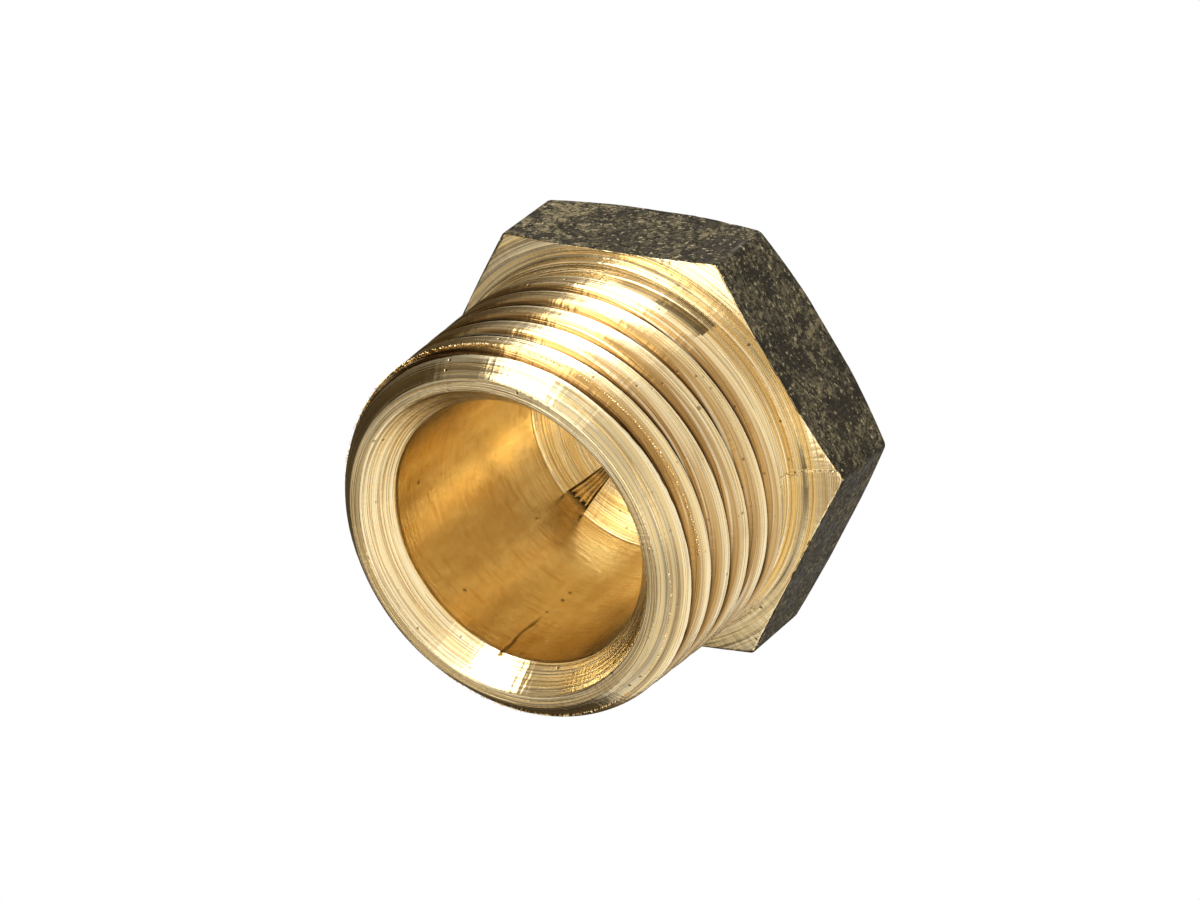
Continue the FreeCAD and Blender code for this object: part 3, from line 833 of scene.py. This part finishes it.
jog = random_value(bench, "FLOAT_VECTOR", (-1.0, -1.0, -1.0), (1.0, 1.0, 1.0), 1.0)
jogged = bench.tree.nodes.new("GeometryNodeSetPosition")
bench.join(jogged.inputs["Geometry"], spots)
bench.join(jogged.inputs["Offset"], bench.add(
    "ShaderNodeVectorMath", {0: jog, "Scale": sizes["Jog"]}, operation="SCALE"))
stone = bench.add("GeometryNodeMeshIcoSphere", {"Radius": 1.0, "Subdivisions": 2})
strew = bench.tree.nodes.new("GeometryNodeInstanceOnPoints")
bench.join(strew.inputs["Points"], jogged.outputs[0])
bench.join(strew.inputs["Instance"], stone)
bench.join(strew.inputs["Selection"], random_value(bench, "BOOLEAN", sizes["Share"], None, 2.0))
bench.join(strew.inputs["Rotation"], random_value(
    bench, "FLOAT_VECTOR", (0.0, 0.0, 0.0), (6.283, 6.283, 6.283), 3.0))
shape = random_value(bench, "FLOAT_VECTOR", (0.35, 0.5, 0.8), (0.9, 1.0, 1.6), 4.0)
bench.join(strew.inputs["Scale"], bench.add(
    "ShaderNodeVectorMath", {0: shape, "Scale": sizes["Lump"]}, operation="SCALE"))
solid = bench.add("GeometryNodeRealizeInstances", {"Geometry": strew.outputs[0]})
finish_tree(bench, bench.add("GeometryNodeSetMaterial", {"Geometry": solid,
                                                         "Material": sizes["Metal"]}))
print("the burr tree has", len(burr_tree.nodes), "nodes")


# %% Burrs
def line_object(name, points, closed=True):
    mesh = bpy.data.meshes.new(name)
    count = len(points)
    edges = [(k, (k + 1) % count) for k in range(count if closed else count - 1)]
    mesh.from_pydata([tuple(v * MM for v in p) for p in points], edges, [])
    thing = bpy.data.objects.new(name, mesh)
    bpy.context.scene.collection.objects.link(thing)
    return thing


def round_line_at(r, z):
    r, z = np.broadcast_to(r, COLUMNS), np.broadcast_to(z, COLUMNS)
    return [(r[j] * math.cos(a), r[j] * math.sin(a), z[j]) for j, a in enumerate(angles)]


def burrs(name, points, closed=True, **values):
    source = line_object(name + "_line", points, closed)
    named = {"Metal": burr_metal}
    named.update({k.replace("_", " "): v for k, v in values.items()})
    piece = run_tree(source, burr_tree, named, name)
    bpy.data.objects.remove(source)
    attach(piece, "root")
    print(name, len(piece.data.polygons), "faces")


burrs("head_burr", round_line_at(hexagon - 0.11, under_edge - 0.09), Spacing=0.12 * MM,
      Lump=0.05 * MM, Jog=0.03 * MM, Share=0.8, Seed=11)
burrs("mouth_burr", round_line_at(CHAMFER_R + 0.02, LENGTH - 0.07), Spacing=0.25 * MM,
      Lump=0.035 * MM, Jog=0.03 * MM, Share=0.4, Seed=12)
steps = np.linspace(0, 2 * math.pi, 300, endpoint=False)
first_edge = [((blank_radius(z) - 0.02) * math.cos(a), (blank_radius(z) - 0.02) * math.sin(a), z)
              for a in steps for z in [THREAD_END + PITCH * (5 + a / (2 * math.pi)) - 0.46]
              if z < LENGTH - 0.25]
path = [(RELIEF_R, 7.5), (RELIEF_R, 7.1), (RELIEF_R, COLLAR_TOP), (COLLAR_R - 0.03, COLLAR_TOP - 0.03),
        (COLLAR_R - 0.03, HEAD + 0.1), (11.6, HEAD - 0.05), (12.3, HEAD - 0.2)]
step_line = [(r * math.cos(STEP_AT), r * math.sin(STEP_AT), z) for r, z in path]
burrs("step_burr", step_line, closed=False, Spacing=0.09 * MM, Lump=0.04 * MM, Jog=0.03 * MM,
      Share=0.8, Seed=14)
burrs("first_turn_burr", first_edge, closed=False, Spacing=0.14 * MM, Lump=0.05 * MM,
      Jog=0.03 * MM, Share=0.75, Seed=13)

# %% [markdown]
# The stage. The photograph shows the plug cut out on pure white, with no shadow. A plain pale
# floor that glows evenly gives that, like a light table. The metal gets its bands from large
# soft panels. They are painted on the sky as soft-edged rectangles, each with a direction, a
# size and a strength, because a turned surface mirrors a narrow fan of directions, and that
# places every band by one number.

# %% Floor
floor_mesh = bpy.data.meshes.new("pale_floor")
reach, level = 1.5, -0.00002
floor_mesh.from_pydata([(-reach, -reach, level), (reach, -reach, level), (reach, reach, level),
                        (-reach, reach, level)], [], [(0, 1, 2, 3)])
floor = bpy.data.objects.new("pale_floor", floor_mesh)
bpy.context.scene.collection.objects.link(floor)
pale = bpy.data.materials.new("pale_floor")
pale.use_nodes = True
bench = Bench(pale.node_tree)
glow = bench.add("ShaderNodeEmission", {"Color": (1.0, 1.0, 1.0, 1), "Strength": 1.0})
bench.join(pale.node_tree.nodes["Material Output"].inputs["Surface"], glow)
floor_mesh.materials.append(pale)
for way in ("visible_glossy", "visible_diffuse", "visible_shadow", "visible_transmission"):
    setattr(floor, way, False)
print("the floor lies at", level, "m")

# %% Soft panels
# Direction round the axis and up from the level, half width, half height, softness of the
# sides and of the ends, in degrees; then strength and tint. What is left is a dim warm room.
WHITE, WARM = (1.0, 0.985, 0.95), (1.0, 0.66, 0.30)
PANELS = [
    ("table", -17, -8, 81, 54, 10, 26, 0.98, WHITE),
    ("side sheet", 80, -8, 16, 54, 3, 26, 1.3, WHITE),
    ("strip", 104, -12, 15, 60, 8, 16, 6.5, WHITE),
    ("top of the strip", 100, 59, 26, 7, 30, 6, 3.6, WHITE),
    ("beyond the strip", 134, -30, 12, 50, 14, 20, 0.4, WHITE),
    ("overhead", 220, 52, 50, 22, 30, 14, 0.35, WHITE),
    ("hatch", 220, 81, 100, 11, 40, 8, 3.2, WHITE),
    ("behind the lens", 18, 56, 66, 8, 20, 6, 0.85, WHITE),
    ("beside the bore", 160, 47, 32, 8, 20, 8, 0.5, WHITE),
    ("across the bore", -100, 47, 24, 8, 20, 8, 0.5, WHITE),
    ("low beside the lens", -25, 47, 28, 6, 20, 6, 0.6, WHITE),
    ("ceiling", 0, 75, 181, 25, 1, 20, 0.16, WARM),
]
ROOM = (0.085, 0.062, 0.034)

world = bpy.data.worlds.new("studio")
world.use_nodes = True
bpy.context.scene.world = world
bench = Bench(world.node_tree)
dx, dy, dz = bench.parts(bench.add("ShaderNodeTexCoord", output=0))
heading = bench.math("MULTIPLY", bench.math("ARCTAN2", dy, dx), 180 / math.pi)
height = bench.math("MULTIPLY", bench.math("ARCSINE", dz), 180 / math.pi)
sky = ROOM
for _, toward, rise, half_width, half_height, side_edge, end_edge, strength, tint in PANELS:
    aside = bench.math("ABSOLUTE", bench.math("WRAP", bench.math("SUBTRACT", heading, toward),
                                              180.0, -180.0))
    above = bench.math("ABSOLUTE", bench.math("SUBTRACT", height, rise))
    panel = bench.math(
        "MULTIPLY", bench.step(aside, half_width + side_edge / 2, half_width - side_edge / 2),
        bench.step(above, half_height + end_edge / 2, half_height - end_edge / 2))
    light = bench.add("ShaderNodeVectorMath", {0: tint, "Scale": bench.math(
        "MULTIPLY", panel, strength)}, operation="SCALE")
    sky = bench.add("ShaderNodeVectorMath", {0: light, 1: sky}, operation="ADD")
backdrop = bench.add("ShaderNodeLightPath", output=0)
bench.join(world.node_tree.nodes["Background"].inputs["Color"],
           bench.mix(backdrop, sky, (1.0, 1.0, 1.0, 1)))
print(len(PANELS), "soft panels")
